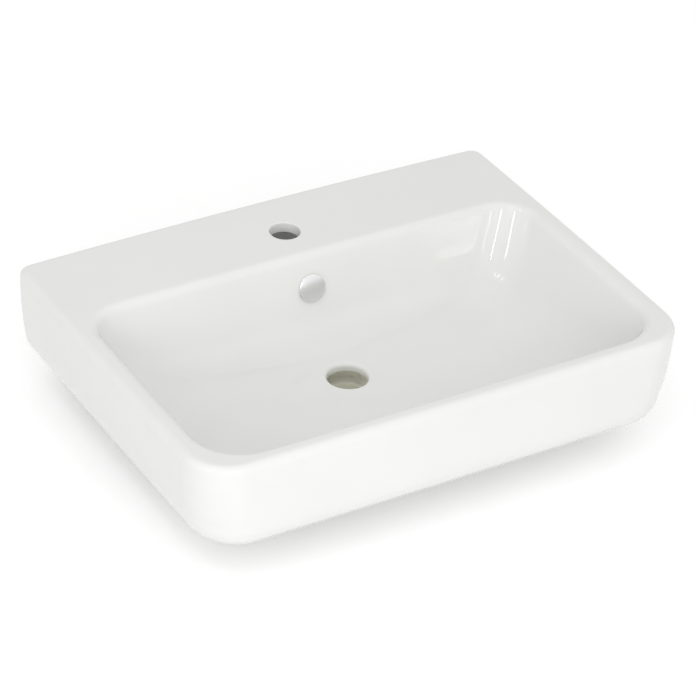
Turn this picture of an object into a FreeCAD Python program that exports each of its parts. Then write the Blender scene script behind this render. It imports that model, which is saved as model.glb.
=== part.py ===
import FreeCAD, Part
import math
import os

# A wall-hung washbasin fired in one piece, with its push-in overflow cover.
# Lengths are in millimetres. The origin is on the wall plane, midway between the
# two wall fixing holes. +Y points into the wall, -Y to the user, +Z is up.

# Overall body
width = 600.0
depth = 440.0
skirt_height = 113.0
fixing_drop = 70.0
deck_crown = 3.5
side_bow = 1.4
front_bow = 0.5
side_draft = 11.7
draft_power = 2.08

# Plan corners, roundings and lip of the outside
rear_corner = 15.0
rear_corner_low = 11.5
front_corner = 50.0
front_corner_low = 54.0
skirt_turn = 29.0
skirt_front_turn = 26.5
wall_foot_turn = 16.0
rim_turn = 8.5
lip_reach = 52.0

# Wall thicknesses, and what is ground off the back to make it flat
bowl_wall = 10.0
skirt_wall = 9.5
deck_wall = 12.0
back_wall = 13.0
back_wall_foot = 21.0
wall_grind = 0.2

# Bowl. A slant is measured from the vertical, a reach from the wall plane.
deck_depth = 119.0
deck_bow = 2.0
side_rim = 23.0
front_rim = 21.0
bowl_turn = 8.0
bowl_depth = 101.5
bowl_rear_corner = 43.0
bowl_front_corner = 55.0
back_slant = 18.0
side_slant = 21.0
front_slant = 12.0
floor_fall = 7.0
floor_from_wall = 161.0
floor_half_width = 212.0
floor_to_front = 70.0
floor_rear_corner = 41.0
floor_front_corner = 55.0

# Drain
drain_from_wall = 219.0
drain_bore = 23.0
drain_edge_turn = 4.5
drain_edge_lift = 0.07
seat_reach = 36.0
seat_land = 8.0
throat_length = 48.0
boss_radius = 38.0
boss_overlap = 5.0
boss_edge_turn = 3.0
neck_length = 9.5
chamber_radius = 29.0
chamber_height = 17.0

# Hollow under the rim. A drop is measured down from the rim.
lip_nose = 3.0
panel_blend_height = 30.0
panel_blend = 10.0
side_hollow_drop = 34.0
front_hollow_drop = 48.0
side_hollow_turn = 4.0
front_hollow_turn = 3.0
deck_hollow_turn = 8.0
panel_hollow_turn = 5.0

# Tap hole and wall fixing holes
tap_from_wall = 70.0
tap_bore = 17.5
tap_edge_turn = 1.2
fixing_spacing = 280.0
fixing_bore = 10.0
fixing_pad_radius = 24.0
fixing_pad_height = 6.0
pad_overlap = 4.0
pad_edge_turn = 2.5

# Overflow hole and the duct from it down to the drain
overflow_drop = 37.8
overflow_bore = 12.0
duct_width = 57.6
duct_depth = 15.0
duct_wall = 8.0
duct_head = 18.0
duct_skim = 0.8
duct_edge_turn = 5.0

# Overflow cover
cover_radius = 16.5
cover_height = 3.2
cover_dome = 0.9
dome_way_share = 0.5
cover_shell = 1.1
cover_edge = 1.1
cover_gap = 0.3
window_width = 12.0
window_height = 1.3
window_spread = 55.0
flange_clearance = 0.1
flange_height = 0.9
bush_clearance = 0.35
bush_shell = 2.6
bush_length = 17.0
leg_length = 9.0
leg_slit = 2.2
leg_count = 4
seal_section = 1.6
seal_clearance = 0.05
seal_setback = 4.2

# One overrun serves every cutting tool.
overrun = 5.0

# A rounding is held by four control points, two on each side of its corner.
# These are their distances from it, as shares of the rounding's reach.
turn_shares = (1.2, 0.56)
# Heights that hold the skirt's draft, as shares of the skirt's height.
draft_shares = (0.4, 0.7)
# Depths of the bowl wall's control points, as shares of the bowl's depth.
wall_shares = (0.36, 0.7)
# Places along the floor, from its foot to the drain's seat.
floor_shares = (1.0, 0.5, 0.0)
# A nearly round corner, as a share of its ring's half width, and the least corner left.
round_share = 0.88
least_corner_share = 0.3

degree = 3
corner_weight = math.cos(math.pi / 4)
corner_strips = (2, 6)

half_width = width / 2
rim_z = fixing_drop
foot_z = rim_z - skirt_height
drain_z = rim_z - bowl_depth
lip_top_z = foot_z + skirt_wall


def vec(x, y, z):
    return FreeCAD.Vector(x, y, z)


def unit(start, end):
    length = math.hypot(end[0] - start[0], end[1] - start[1])
    return ((end[0] - start[0]) / length, (end[1] - start[1]) / length)


def tan_of(angle):
    return math.tan(math.radians(angle))


def cos_of(angle):
    return math.cos(math.radians(angle))


def draft_inset(z):
    share = (rim_z - z) / skirt_height
    return side_draft * share ** draft_power


def lift(reach, z):
    # The deck is crowned across its width. The crown fades to the front and downwards.
    return deck_crown * (1 - reach / depth) * max(z - drain_z, 0) / bowl_depth


def control_line(stations):
    # Each station is (reach, height, turn). A turn of zero keeps the point itself.
    points = []
    for index, (reach, height, turn) in enumerate(stations):
        if turn == 0:
            points.append((reach, height))
            continue
        before = unit((reach, height), stations[index - 1])
        after = unit((reach, height), stations[index + 1])
        for share in turn_shares:
            points.append((reach + before[0] * turn * share, height + before[1] * turn * share))
        for share in reversed(turn_shares):
            points.append((reach + after[0] * turn * share, height + after[1] * turn * share))
    return points


def offset_line(points, distance):
    # Moves an open line of points sideways by a distance, mitred at each point.
    moved = []
    last = len(points) - 1
    for index, point in enumerate(points):
        before = max(index - 1, 0)
        after = min(index, last - 1)
        come = unit(points[before], points[before + 1])
        leave = unit(points[after], points[after + 1])
        normal = (-come[1] - leave[1], come[0] + leave[0])
        scale = 2 * distance / (normal[0] ** 2 + normal[1] ** 2)
        moved.append((point[0] + normal[0] * scale, point[1] + normal[1] * scale))
    return moved


def along(start, end, distance):
    return start + (end - start) * (distance / (end - start).Length)


def ring(back, side, front, rear_radius, nose_radius, back_bow):
    # Control points of the right half of one closed ring, from the middle of the
    # back to the middle of the front. Edges and corners take turns.
    top = back[1] + lift(back[0], back[1])
    low = front[1] + lift(front[0], front[1])
    back_mid = vec(0, -back[0] - back_bow, top)
    back_hold = vec((side[0] - rear_radius) / 2, -back[0] - back_bow, top)
    rear_point = vec(side[0] - side_bow, -back[0], (back[1] + side[1]) / 2)
    side_hold = vec(side[0] + side_bow, -(back[0] + front[0]) / 2, side[1])
    nose_point = vec(side[0] - side_bow, front_bow - front[0], (side[1] + front[1]) / 2)
    front_hold = vec((side[0] - nose_radius) / 2, -front[0], low)
    front_mid = vec(0, -front[0], low)
    return [
        back_mid,
        back_hold,
        along(rear_point, back_hold, rear_radius),
        rear_point,
        along(rear_point, side_hold, rear_radius),
        side_hold,
        along(nose_point, side_hold, nose_radius),
        nose_point,
        along(nose_point, front_hold, nose_radius),
        front_hold,
        front_mid,
    ]


def rings_of(rows):
    # Each row holds its back, side and front stations, its rear and front plan
    # corners and its bow at the back. A corner grows and shrinks with its ring.
    back = control_line([row[0] for row in rows])
    side = control_line([row[1] for row in rows])
    front = control_line([row[2] for row in rows])
    rings = []
    for _, station, _, rear, nose, bow in rows:
        steps = 1 if station[2] == 0 else 2 * len(turn_shares)
        for _ in range(steps):
            place = len(rings)
            change = side[place][0] - station[0]
            rear_radius = max(rear + change, rear * least_corner_share)
            nose_radius = max(nose + change, nose * least_corner_share)
            rings.append(ring(back[place], side[place], front[place], rear_radius, nose_radius, bow))
    return rings


def mirrored(points):
    return [vec(-p.x, p.y, p.z) for p in points]


def clamped_knots(count):
    # The knots of a clamped uniform spline with so many poles, and their repeats.
    knots = [float(k) for k in range(count - degree + 1)]
    return knots, [degree + 1] + [1] * (len(knots) - 2) + [degree + 1]


def strip(rings, first):
    # One face through three neighbouring control points of every ring.
    middle = corner_weight if first in corner_strips else 1
    poles = [[points[first + step] for points in rings] for step in range(3)]
    weights = [[weight] * len(rings) for weight in (1, middle, 1)]
    knots, repeats = clamped_knots(len(rings))
    surface = Part.BSplineSurface()
    surface.buildFromPolesMultsKnots(
        poles, [3, 3], repeats, [0.0, 1.0], knots, False, False, 2, degree, weights
    )
    return surface.toShape()


def skin(rings):
    faces = []
    for half in (rings, [mirrored(points) for points in rings]):
        for first in range(0, len(half[0]) - 2, 2):
            faces.append(strip(half, first))
    return faces


def cap(points):
    # The flat face inside the last ring of a skin.
    edges = []
    for half in (points, mirrored(points)):
        for first in range(0, len(half) - 2, 2):
            curve = Part.BezierCurve()
            curve.setPoles(half[first:first + 3])
            if first in corner_strips:
                curve.setWeight(2, corner_weight)
            edges.append(curve.toShape())
    return Part.Face(Part.Wire(Part.__sortEdges__(edges)))


def wall_row(share):
    # The bowl's wall at a share of its depth, on the slanted lines below the rim.
    drop = bowl_depth * share
    return (
        (deck_depth + drop * tan_of(back_slant), rim_z - drop, 0),
        (half_width - side_rim - drop * tan_of(side_slant), rim_z - drop, 0),
        (depth - front_rim - drop * tan_of(front_slant), rim_z - drop, 0),
        bowl_rear_corner + (floor_rear_corner - bowl_rear_corner) * share,
        bowl_front_corner + (floor_front_corner - bowl_front_corner) * share,
        deck_bow,
    )


def floor_row(share):
    # The floor falls from its foot, at a share of 1, to the drain's seat.
    reach = seat_reach + seat_land
    height = drain_z + floor_fall * share
    back = drain_from_wall - reach
    front = drain_from_wall + reach
    least = reach * round_share
    return (
        (back + (floor_from_wall - back) * share, height, 0),
        (reach + (floor_half_width - reach) * share, height, 0),
        (front + (depth - floor_to_front - front) * share, height, 0),
        least + (floor_rear_corner - least) * share,
        least + (floor_front_corner - least) * share,
        0,
    )


def seat_row():
    return (
        (drain_from_wall - seat_reach, drain_z, 0),
        (seat_reach, drain_z, 0),
        (drain_from_wall + seat_reach, drain_z, 0),
        seat_reach * round_share,
        seat_reach * round_share,
        0,
    )


def lip_row():
    return (
        (back_wall_foot, foot_z, 0),
        (half_width - lip_reach, foot_z, 0),
        (depth - lip_reach, foot_z, 0),
        rear_corner,
        front_corner_low - lip_reach + side_draft,
        0,
    )


def outer_rows():
    # The skin in view: under the lip, up the skirt, over the rim and into the bowl.
    # Its back stands a little past the wall plane, where it is ground flat.
    rows = [lip_row(), (
        (-wall_grind, foot_z, wall_foot_turn),
        (half_width - side_draft, foot_z, skirt_turn),
        (depth, foot_z, skirt_front_turn),
        rear_corner_low,
        front_corner_low,
        0,
    )]
    for share in draft_shares:
        height = foot_z + skirt_height * share
        rows.append((
            (-wall_grind, height, 0),
            (half_width - draft_inset(height), height, 0),
            (depth, height, 0),
            rear_corner_low + (rear_corner - rear_corner_low) * share,
            front_corner_low + (front_corner - front_corner_low) * share,
            0,
        ))
    rows.append((
        (-wall_grind, rim_z, rim_turn),
        (half_width, rim_z, rim_turn),
        (depth, rim_z, rim_turn),
        rear_corner,
        front_corner,
        0,
    ))
    rows.append((
        (deck_depth, rim_z, bowl_turn),
        (half_width - side_rim, rim_z, bowl_turn),
        (depth - front_rim, rim_z, bowl_turn),
        bowl_rear_corner,
        bowl_front_corner,
        deck_bow,
    ))
    rows += [wall_row(share) for share in wall_shares]
    rows += [floor_row(share) for share in floor_shares]
    rows.append(seat_row())
    return rows


def behind(reach, slant, drop, sign):
    # Where the hidden side of a slanted bowl wall stands, at a drop below the rim.
    return reach + sign * (drop * tan_of(slant) - bowl_wall / cos_of(slant))


def hollow_rows():
    # The hidden skin: over the lip's end, up inside the skirt and the back panel,
    # under the rim and the deck, and down behind the bowl to the drain's boss.
    rows = [lip_row()]
    for nose, rise in ((lip_nose, lip_nose), (lip_nose, skirt_wall - lip_nose), (0, skirt_wall)):
        rows.append((
            (back_wall_foot, foot_z + rise, 0),
            (half_width - lip_reach - nose, foot_z + rise, 0),
            (depth - lip_reach - nose, foot_z + rise, 0),
            rear_corner,
            front_corner_low - lip_reach + side_draft,
            0,
        ))
    rows.append((
        (back_wall, foot_z + panel_blend_height, panel_blend),
        (half_width - side_draft - skirt_wall, lip_top_z, skirt_turn - skirt_wall),
        (depth - skirt_wall, lip_top_z, skirt_front_turn - skirt_wall),
        rear_corner,
        front_corner_low - skirt_wall,
        0,
    ))
    height = foot_z + skirt_height * draft_shares[0]
    rows.append((
        (back_wall, height, 0),
        (half_width - draft_inset(height) - skirt_wall, height, 0),
        (depth - skirt_wall, height, 0),
        rear_corner,
        front_corner_low - skirt_wall,
        0,
    ))
    rows.append((
        (back_wall, rim_z - deck_wall, panel_hollow_turn),
        (half_width - skirt_wall, rim_z - side_hollow_drop, side_hollow_turn),
        (depth - skirt_wall, rim_z - front_hollow_drop, front_hollow_turn),
        rear_corner,
        front_corner - skirt_wall,
        0,
    ))
    rows.append((
        (behind(deck_depth, back_slant, deck_wall, 1), rim_z - deck_wall, deck_hollow_turn),
        (
            behind(half_width - side_rim, side_slant, side_hollow_drop, -1),
            rim_z - side_hollow_drop,
            side_hollow_turn,
        ),
        (
            behind(depth - front_rim, front_slant, front_hollow_drop, -1),
            rim_z - front_hollow_drop,
            front_hollow_turn,
        ),
        bowl_rear_corner + bowl_wall,
        bowl_front_corner + bowl_wall,
        deck_bow,
    ))
    bowl = [wall_row(share) for share in wall_shares]
    bowl += [floor_row(share) for share in floor_shares]
    bowl.append(seat_row())
    back = offset_line([row[0][:2] for row in bowl], -bowl_wall)
    side = offset_line([row[1][:2] for row in bowl], bowl_wall)
    front = offset_line([row[2][:2] for row in bowl], bowl_wall)
    for index in range(1, len(bowl)):
        spread = min(side[index][0] - bowl[index][1][0], bowl_wall)
        rows.append((
            (*back[index], 0),
            (*side[index], 0),
            (*front[index], 0),
            bowl[index][3] + spread,
            bowl[index][4] + spread,
            bowl[index][5],
        ))
    return rows


def shell():
    outside = rings_of(outer_rows())
    inside = rings_of(hollow_rows())
    faces = skin(outside) + skin(inside) + [cap(outside[-1]), cap(inside[-1])]
    joined = Part.Shell(faces)
    joined.sewShape()
    body = Part.Solid(joined)
    if body.Volume < 0:
        body.reverse()
    return body


def chain_face(chain):
    # A flat face in the plane y = 0 from a closed chain. Each step is the next
    # (radius, height) point, with a point on the way where the step is an arc.
    edges = []
    start = chain[-1][-1]
    for step in chain:
        end = step[-1]
        one = vec(start[0], 0, start[1])
        two = vec(end[0], 0, end[1])
        if len(step) == 1:
            edges.append(Part.LineSegment(one, two).toShape())
        else:
            edges.append(Part.Arc(one, vec(step[0][0], 0, step[0][1]), two).toShape())
        start = end
    return Part.Face(Part.Wire(edges))


def turned(chain):
    return chain_face(chain).revolve(vec(0, 0, 0), vec(0, 0, 1), 360)


def tilted(place, angle):
    # Tips +Z towards -Y by an angle.
    return FreeCAD.Placement(place, FreeCAD.Rotation(vec(1, 0, 0), angle))


def arc_middle(centre, radius, angle):
    turn = math.radians(angle)
    return (centre[0] + radius * math.cos(turn), centre[1] + radius * math.sin(turn))


def dome_way(radius, foot_z, rise):
    # A point part of the way up the arc of a shallow dome that is centred on the axis.
    sphere = (radius ** 2 + rise ** 2) / (2 * rise)
    way = radius * dome_way_share
    return (way, foot_z + rise - sphere + math.sqrt(sphere ** 2 - way ** 2))


def post(radius, length, edge_turn):
    # A round post that stands up from its root and has a rounded end.
    end = length - edge_turn
    return turned([
        [(0, 0)],
        [(radius, 0)],
        [(radius, end)],
        [arc_middle((radius - edge_turn, end), edge_turn, 45), (radius - edge_turn, length)],
        [(0, length)],
    ])


def rounded_bore(radius, top_z, bottom_z, edge_turn, edge_lift):
    # A cutting tool for an upright hole with a rounded upper edge.
    turn_z = top_z - edge_turn + edge_lift
    return turned([
        [(0, bottom_z)],
        [(radius, bottom_z)],
        [(radius, turn_z)],
        [arc_middle((radius + edge_turn, turn_z), edge_turn, 135), (radius + edge_turn, turn_z + edge_turn)],
        [(radius + edge_turn, top_z + overrun)],
        [(0, top_z + overrun)],
    ])


def middle_line(distance, top_drop):
    # The bowl's back line in the middle plane, moved into or behind its wall.
    top_reach = deck_depth + deck_bow + top_drop * tan_of(back_slant)
    line = [(top_reach, rim_z - top_drop)]
    for share in wall_shares:
        reach, height, _ = wall_row(share)[0]
        line.append((reach + deck_bow, height))
    line += [floor_row(share)[0][:2] for share in floor_shares]
    line.append(seat_row()[0][:2])
    return [vec(0, -reach, height + lift(reach, height)) for reach, height in offset_line(line, -distance)]


def duct_block(into_wall, outset, block_width):
    # The space between the bowl and its overflow duct, down to the drain's boss.
    top_z = rim_z - overflow_drop + duct_head + outset
    floor_z = drain_z - neck_length - chamber_height - outset
    poles = middle_line(into_wall, rim_z - top_z)
    knots, repeats = clamped_knots(len(poles))
    curve = Part.BSplineCurve()
    curve.buildFromPolesMultsKnots(poles, repeats, knots, False, degree)
    behind_wall = (bowl_wall + duct_depth + outset) / cos_of(back_slant)
    top_reach = deck_depth + deck_bow + (rim_z - top_z) * tan_of(back_slant) - behind_wall
    low_reach = deck_depth + deck_bow + (rim_z - floor_z) * tan_of(back_slant) - behind_wall
    corners = [
        poles[-1],
        vec(0, -drain_from_wall, poles[-1].z),
        vec(0, -drain_from_wall, floor_z),
        vec(0, -low_reach, floor_z),
        vec(0, -top_reach, top_z),
        poles[0],
    ]
    edges = [curve.toShape()]
    for one, two in zip(corners, corners[1:]):
        edges.append(Part.LineSegment(one, two).toShape())
    block = Part.Face(Part.Wire(edges)).extrude(vec(block_width, 0, 0))
    block.translate(vec(-block_width / 2, 0, 0))
    return block


def duct_casing():
    # The duct's outside. The edges that meet at its two low outer corners are rounded.
    block = duct_block(bowl_wall / 2, duct_wall, duct_width + 2 * duct_wall)
    edges = []
    for edge in block.Edges:
        low = [v for v in edge.Vertexes if v.Z < drain_z - neck_length and v.Y > boss_radius - drain_from_wall]
        if low:
            edges.append(edge)
    return block.makeFillet(duct_edge_turn, edges)


def overflow_place():
    # Where the overflow hole's axis leaves the bowl's back wall. The hole's own +Z
    # is the wall's outward normal, and its own -Y points down the wall.
    reach = deck_depth + deck_bow + overflow_drop * tan_of(back_slant)
    height = rim_z - overflow_drop
    return tilted(vec(0, -reach, height + lift(reach, height)), 90 - back_slant)


def fixing_places():
    return [vec(side * fixing_spacing / 2, 0, 0) for side in (-1, 1)]


def basin_body():
    drain = vec(0, -drain_from_wall, 0)
    boss_foot = drain_z - throat_length
    boss = post(boss_radius, throat_length - boss_overlap, boss_edge_turn)
    boss.Placement = tilted(drain + vec(0, 0, drain_z - boss_overlap), 180)
    pads = []
    for place in fixing_places():
        pad = post(fixing_pad_radius, fixing_pad_height + pad_overlap, pad_edge_turn)
        pad.Placement = tilted(place - vec(0, back_wall - pad_overlap, 0), 90)
        pads.append(pad)
    body = shell().fuse([boss, duct_casing()] + pads)

    drain_hole = rounded_bore(drain_bore, drain_z, boss_foot - overrun, drain_edge_turn, drain_edge_lift)
    drain_hole.translate(drain)
    chamber_foot = drain_z - neck_length - chamber_height
    chamber = Part.makeCylinder(chamber_radius, chamber_height, drain + vec(0, 0, chamber_foot))
    waterway = duct_block(bowl_wall - duct_skim, 0, duct_width)
    tap_z = rim_z + lift(tap_from_wall, rim_z)
    tap_hole = rounded_bore(tap_bore, tap_z, tap_z - 2 * deck_wall, tap_edge_turn, 0)
    tap_hole.translate(vec(0, -tap_from_wall, 0))
    overflow_hole = Part.makeCylinder(
        overflow_bore, bowl_wall + duct_depth / 2 + overrun, vec(0, 0, -bowl_wall - duct_depth / 2)
    )
    overflow_hole.Placement = overflow_place()
    fixing_depth = back_wall + fixing_pad_height + 2 * overrun
    fixing_holes = [
        Part.makeCylinder(fixing_bore, fixing_depth, place + vec(0, overrun, 0), vec(0, -1, 0))
        for place in fixing_places()
    ]
    ground_off = Part.makeBox(width + 2 * overrun, overrun, 2 * skirt_height)
    ground_off.translate(vec(-half_width - overrun, 0, -skirt_height))
    body = body.cut([drain_hole, chamber, waterway, tap_hole, overflow_hole, ground_off] + fixing_holes)
    return body.Solids[0]


def overflow_cap():
    # The plated face, a shallow domed cap whose skirt has water windows low down.
    skirt_radius = cover_radius - cover_shell
    edge_z = cover_gap + cover_height - cover_edge
    face_radius = cover_radius - cover_edge
    face_z = cover_gap + cover_height
    inner_z = face_z - cover_shell
    cap_shape = turned([
        [(cover_radius, cover_gap)],
        [(cover_radius, edge_z)],
        [arc_middle((face_radius, edge_z), cover_edge, 45), (face_radius, face_z)],
        [dome_way(face_radius, face_z, cover_dome), (0, face_z + cover_dome)],
        [(0, inner_z + cover_dome)],
        [dome_way(skirt_radius, inner_z, cover_dome), (skirt_radius, inner_z)],
        [(skirt_radius, cover_gap)],
    ])
    for angle in (-window_spread, 0, window_spread):
        window = Part.makeBox(window_width, 2 * cover_radius, window_height)
        window.translate(vec(-window_width / 2, -2 * cover_radius, cover_gap + flange_height))
        window.rotate(vec(0, 0, 0), vec(0, 0, 1), angle)
        cap_shape = cap_shape.cut(window)
    return cap_shape


def overflow_bush():
    # The carrier inside the cap: a flange on a tube whose inner end is slit into legs.
    flange_radius = cover_radius - cover_shell - flange_clearance
    outer = overflow_bore - bush_clearance
    inner = outer - bush_shell
    groove_floor = overflow_bore - seal_clearance - seal_section - seal_clearance
    groove_half = seal_section / 2 + seal_clearance
    bush = turned([
        [(inner, -bush_length)],
        [(outer, -bush_length)],
        [(outer, -seal_setback - groove_half)],
        [(groove_floor, -seal_setback - groove_half)],
        [(groove_floor, -seal_setback + groove_half)],
        [(outer, -seal_setback + groove_half)],
        [(outer, cover_gap)],
        [(flange_radius, cover_gap)],
        [(flange_radius, cover_gap + flange_height)],
        [(inner, cover_gap + flange_height)],
    ])
    for index in range(leg_count // 2):
        slit = Part.makeBox(2 * overflow_bore, leg_slit, leg_length)
        slit.translate(vec(-overflow_bore, -leg_slit / 2, -bush_length))
        slit.rotate(vec(0, 0, 0), vec(0, 0, 1), (index + 0.5) * 360 / leg_count)
        bush = bush.cut(slit)
    return bush


def overflow_seal():
    ring_radius = overflow_bore - seal_clearance - seal_section / 2
    return Part.makeTorus(ring_radius, seal_section / 2, vec(0, 0, -seal_setback))


parts = {"basin_body": basin_body()}
for name, shape in (
    ("overflow_cap", overflow_cap()),
    ("overflow_bush", overflow_bush()),
    ("overflow_seal", overflow_seal()),
):
    shape.Placement = overflow_place().multiply(shape.Placement)
    parts[name] = shape

os.makedirs("parts", exist_ok=True)
for name, shape in parts.items():
    shape.exportStep("parts/" + name + ".step")
    print(name, len(shape.Solids), "solid,", round(shape.Volume / 1000, 2), "cm3, valid:", shape.isValid())
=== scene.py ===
import math

import bmesh
import bpy
import numpy as np
from mathutils import Matrix, Vector


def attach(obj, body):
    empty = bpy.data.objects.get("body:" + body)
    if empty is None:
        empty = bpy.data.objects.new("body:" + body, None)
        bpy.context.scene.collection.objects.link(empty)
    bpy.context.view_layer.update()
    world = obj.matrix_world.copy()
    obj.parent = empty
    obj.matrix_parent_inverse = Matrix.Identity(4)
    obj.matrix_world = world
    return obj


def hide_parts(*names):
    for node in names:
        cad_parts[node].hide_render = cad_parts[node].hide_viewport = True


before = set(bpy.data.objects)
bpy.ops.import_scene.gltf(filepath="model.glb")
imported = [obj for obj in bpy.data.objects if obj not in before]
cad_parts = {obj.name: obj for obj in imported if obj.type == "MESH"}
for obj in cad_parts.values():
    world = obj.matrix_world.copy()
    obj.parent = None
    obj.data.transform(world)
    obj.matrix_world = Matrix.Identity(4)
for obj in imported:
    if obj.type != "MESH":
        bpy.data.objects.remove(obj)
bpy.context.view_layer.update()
print("frame loaded,", len(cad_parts), "nodes")

# The basin is drawn in millimetres. The wall is the plane y = 0, and the front is
# towards -Y. A reach is measured from the wall, or at the sides from the middle, and a
# drop down from the rim. Values in threes are for the back, the side and the front.
basin = {
    "halfWidth": 300.0,
    "depth": 440.0,
    "rim": 70.0,
    "skirt": 113.0,
    "crown": 3.5,
    "sideBow": 1.4,
    "frontBow": 0.5,
    "draft": 11.7,
    "draftPower": 2.08,
    "draftShares": (0.4, 0.7),
    "grind": 0.2,
    "rearCorner": (11.5, 15.0),  # at the foot and at the rim
    "frontCorner": (54.0, 50.0),
    "footTurns": (16.0, 29.0, 26.5),
    "rimTurn": 8.5,
}
bowl = {
    "rim": (119.0, 277.0, 419.0),
    "floor": (161.0, 212.0, 370.0),
    "slants": (18, 21, 12),
    "depth": 101.5,
    "wall": 10.0,
    "turn": 8.0,
    "bow": 2.0,
    "fall": 7.0,
    "rearCorner": (43, 41),  # at the rim and at the floor's foot
    "frontCorner": (55, 55),
    "wallShares": (0.36, 0.7),
    "floorShares": (1, 0.5, 0),
    "drainReach": 219.0,
    "seat": 36.0,
    "seatLand": 8.0,
    "roundShare": 0.88,
}
hollow = {
    "skirtWall": 9.5,
    "lipReach": 52.0,
    "lipNose": 3.0,
    "backWall": 13.0,
    "backFoot": 21.0,
    "panelRise": 30.0,
    "panelTurn": 10.0,
    "drops": (12.0, 34.0, 48.0),
    "skirtTurns": (5.0, 4.0, 3.0),
    "bowlTurns": (8.0, 4.0, 3.0),
}
skin = {
    "turnShares": (1.2, 0.56),
    "leastCornerShare": 0.3,
    "perSpan": 10,
    "across": (40, 16, 40, 16, 40),
}
inward = (1, -1, -1)  # which way the bowl's back, side and front lean as they go down
mm = 0.001
upright = np.array((0.0, 0.0, 1.0))
sideways = np.array((1.0, 0.0, 0.0))
intoWall = np.array((0.0, 1.0, 0.0))
footLevel = basin["rim"] - basin["skirt"]
drainLevel = basin["rim"] - bowl["depth"]
drainPoint = np.array((0.0, -bowl["drainReach"], drainLevel))


def slope(angle):
    return math.tan(math.radians(angle))


def crownAt(reach, height):
    # The deck's crown fades to the front and downwards.
    share = max(height - drainLevel, 0) / bowl["depth"]
    return basin["crown"] * (1 - reach / basin["depth"]) * share


def middlePoint(reach, height):
    # A point of the skin in the middle plane.
    return np.array((0.0, -reach, height + crownAt(reach, height)))


def toward(start, end, distance):
    start = np.array(start, float)
    step = np.array(end, float) - start
    return start + step * (distance / np.linalg.norm(step))


def controlLine(stations):
    # A turn is held by four control points, two on each side of its corner.
    points = []
    for place, (reach, height, turn) in enumerate(stations):
        here = (reach, height)
        if turn == 0:
            points.append(here)
            continue
        for share in skin["turnShares"]:
            points.append(tuple(toward(here, stations[place - 1][:2], turn * share)))
        for share in reversed(skin["turnShares"]):
            points.append(tuple(toward(here, stations[place + 1][:2], turn * share)))
    return points


def offsetLine(points, distance):
    # Moves a line of points sideways, mitred at each point.
    moved = []
    last = len(points) - 1
    for place, point in enumerate(points):
        first = max(place - 1, 0)
        second = min(place, last - 1)
        come = toward((0, 0), np.subtract(points[first + 1], points[first]), 1)
        leave = toward((0, 0), np.subtract(points[second + 1], points[second]), 1)
        normal = np.array((-come[1] - leave[1], come[0] + leave[0]))
        moved.append(tuple(np.array(point) + normal * 2 * distance / normal.dot(normal)))
    return moved


def ringPoints(back, side, front, rear, nose, bow):
    # The right half of one closed ring, from the back's middle to the front's.
    top = back[1] + crownAt(*back)
    low = front[1] + crownAt(*front)
    backHold = ((side[0] - rear) / 2, -back[0] - bow, top)
    rearPoint = (side[0] - basin["sideBow"], -back[0], (back[1] + side[1]) / 2)
    sideHold = (side[0] + basin["sideBow"], -(back[0] + front[0]) / 2, side[1])
    nosePoint = (side[0] - basin["sideBow"], basin["frontBow"] - front[0], (side[1] + front[1]) / 2)
    frontHold = ((side[0] - nose) / 2, -front[0], low)
    return np.array([
        (0, -back[0] - bow, top),
        backHold,
        toward(rearPoint, backHold, rear),
        rearPoint,
        toward(rearPoint, sideHold, rear),
        sideHold,
        toward(nosePoint, sideHold, nose),
        nosePoint,
        toward(nosePoint, frontHold, nose),
        frontHold,
        (0, -front[0], low),
    ])


def ringsOf(rows):
    # A row without turns is one ring, and a turn makes one for each control point.
    lines = [controlLine([row[column] for row in rows]) for column in range(3)]
    rings = []
    for _, station, _, rear, nose, bow in rows:
        for _ in range(1 if station[2] == 0 else 2 * len(skin["turnShares"])):
            place = len(rings)
            change = lines[1][place][0] - station[0]
            corners = [max(corner + change, corner * skin["leastCornerShare"]) for corner in (rear, nose)]
            rings.append(ringPoints(*[line[place] for line in lines], *corners, bow))
    return np.array(rings)


def splineWeights(count, perSpan):
    # A clamped uniform cubic spline, with one row of weights for each sample.
    spans = count - 3
    knots = np.array([0] * 3 + list(range(spans + 1)) + [spans] * 3, float)
    ticks = np.linspace(0, spans, spans * perSpan + 1)
    ticks[-1] -= 1e-9
    basis = np.array([(knots[:-1] <= t) & (t < knots[1:]) for t in ticks], float)
    for degree in (1, 2, 3):
        raised = np.zeros((len(ticks), len(knots) - 1 - degree))
        for k in range(raised.shape[1]):
            rise = knots[k + degree] - knots[k]
            fall = knots[k + degree + 1] - knots[k + 1]
            if rise > 0:
                raised[:, k] += (ticks - knots[k]) / rise * basis[:, k]
            if fall > 0:
                raised[:, k] += (knots[k + degree + 1] - ticks) / fall * basis[:, k + 1]
        basis = raised
    return basis


def skinGrid(rings):
    # Rows follow the profile. Columns go round from the front's middle by the left
    # side to the back's middle, and on by the right side.
    columns = np.einsum("sn,ncd->scd", splineWeights(len(rings), skin["perSpan"]), rings)
    half = []
    for piece, count in enumerate(skin["across"]):
        weight = math.cos(math.pi / 4) if piece in (1, 3) else 1  # the two corners are round
        for t in np.linspace(0, 1, count + 1)[(1 if piece else 0):]:
            parts = ((1 - t) ** 2, 2 * t * (1 - t) * weight, t ** 2)
            mixed = sum(part * columns[:, 2 * piece + k] for k, part in enumerate(parts))
            half.append(mixed / sum(parts))
    right = np.array(half).transpose(1, 0, 2)
    left = right[:, :0:-1] * np.array((-1, 1, 1))
    return np.concatenate((left, right[:, :-1]), axis=1)


def ringRow(reaches, heights, corners, turns=(0, 0, 0), bow=0):
    # A ring's back, side and front stations, its two corners and its bow at the back.
    return (*zip(reaches, heights, turns), *corners, bow)


def levelRow(reaches, height, corners, turns=(0, 0, 0), bow=0):
    return ringRow(reaches, (height,) * 3, corners, turns, bow)


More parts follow.
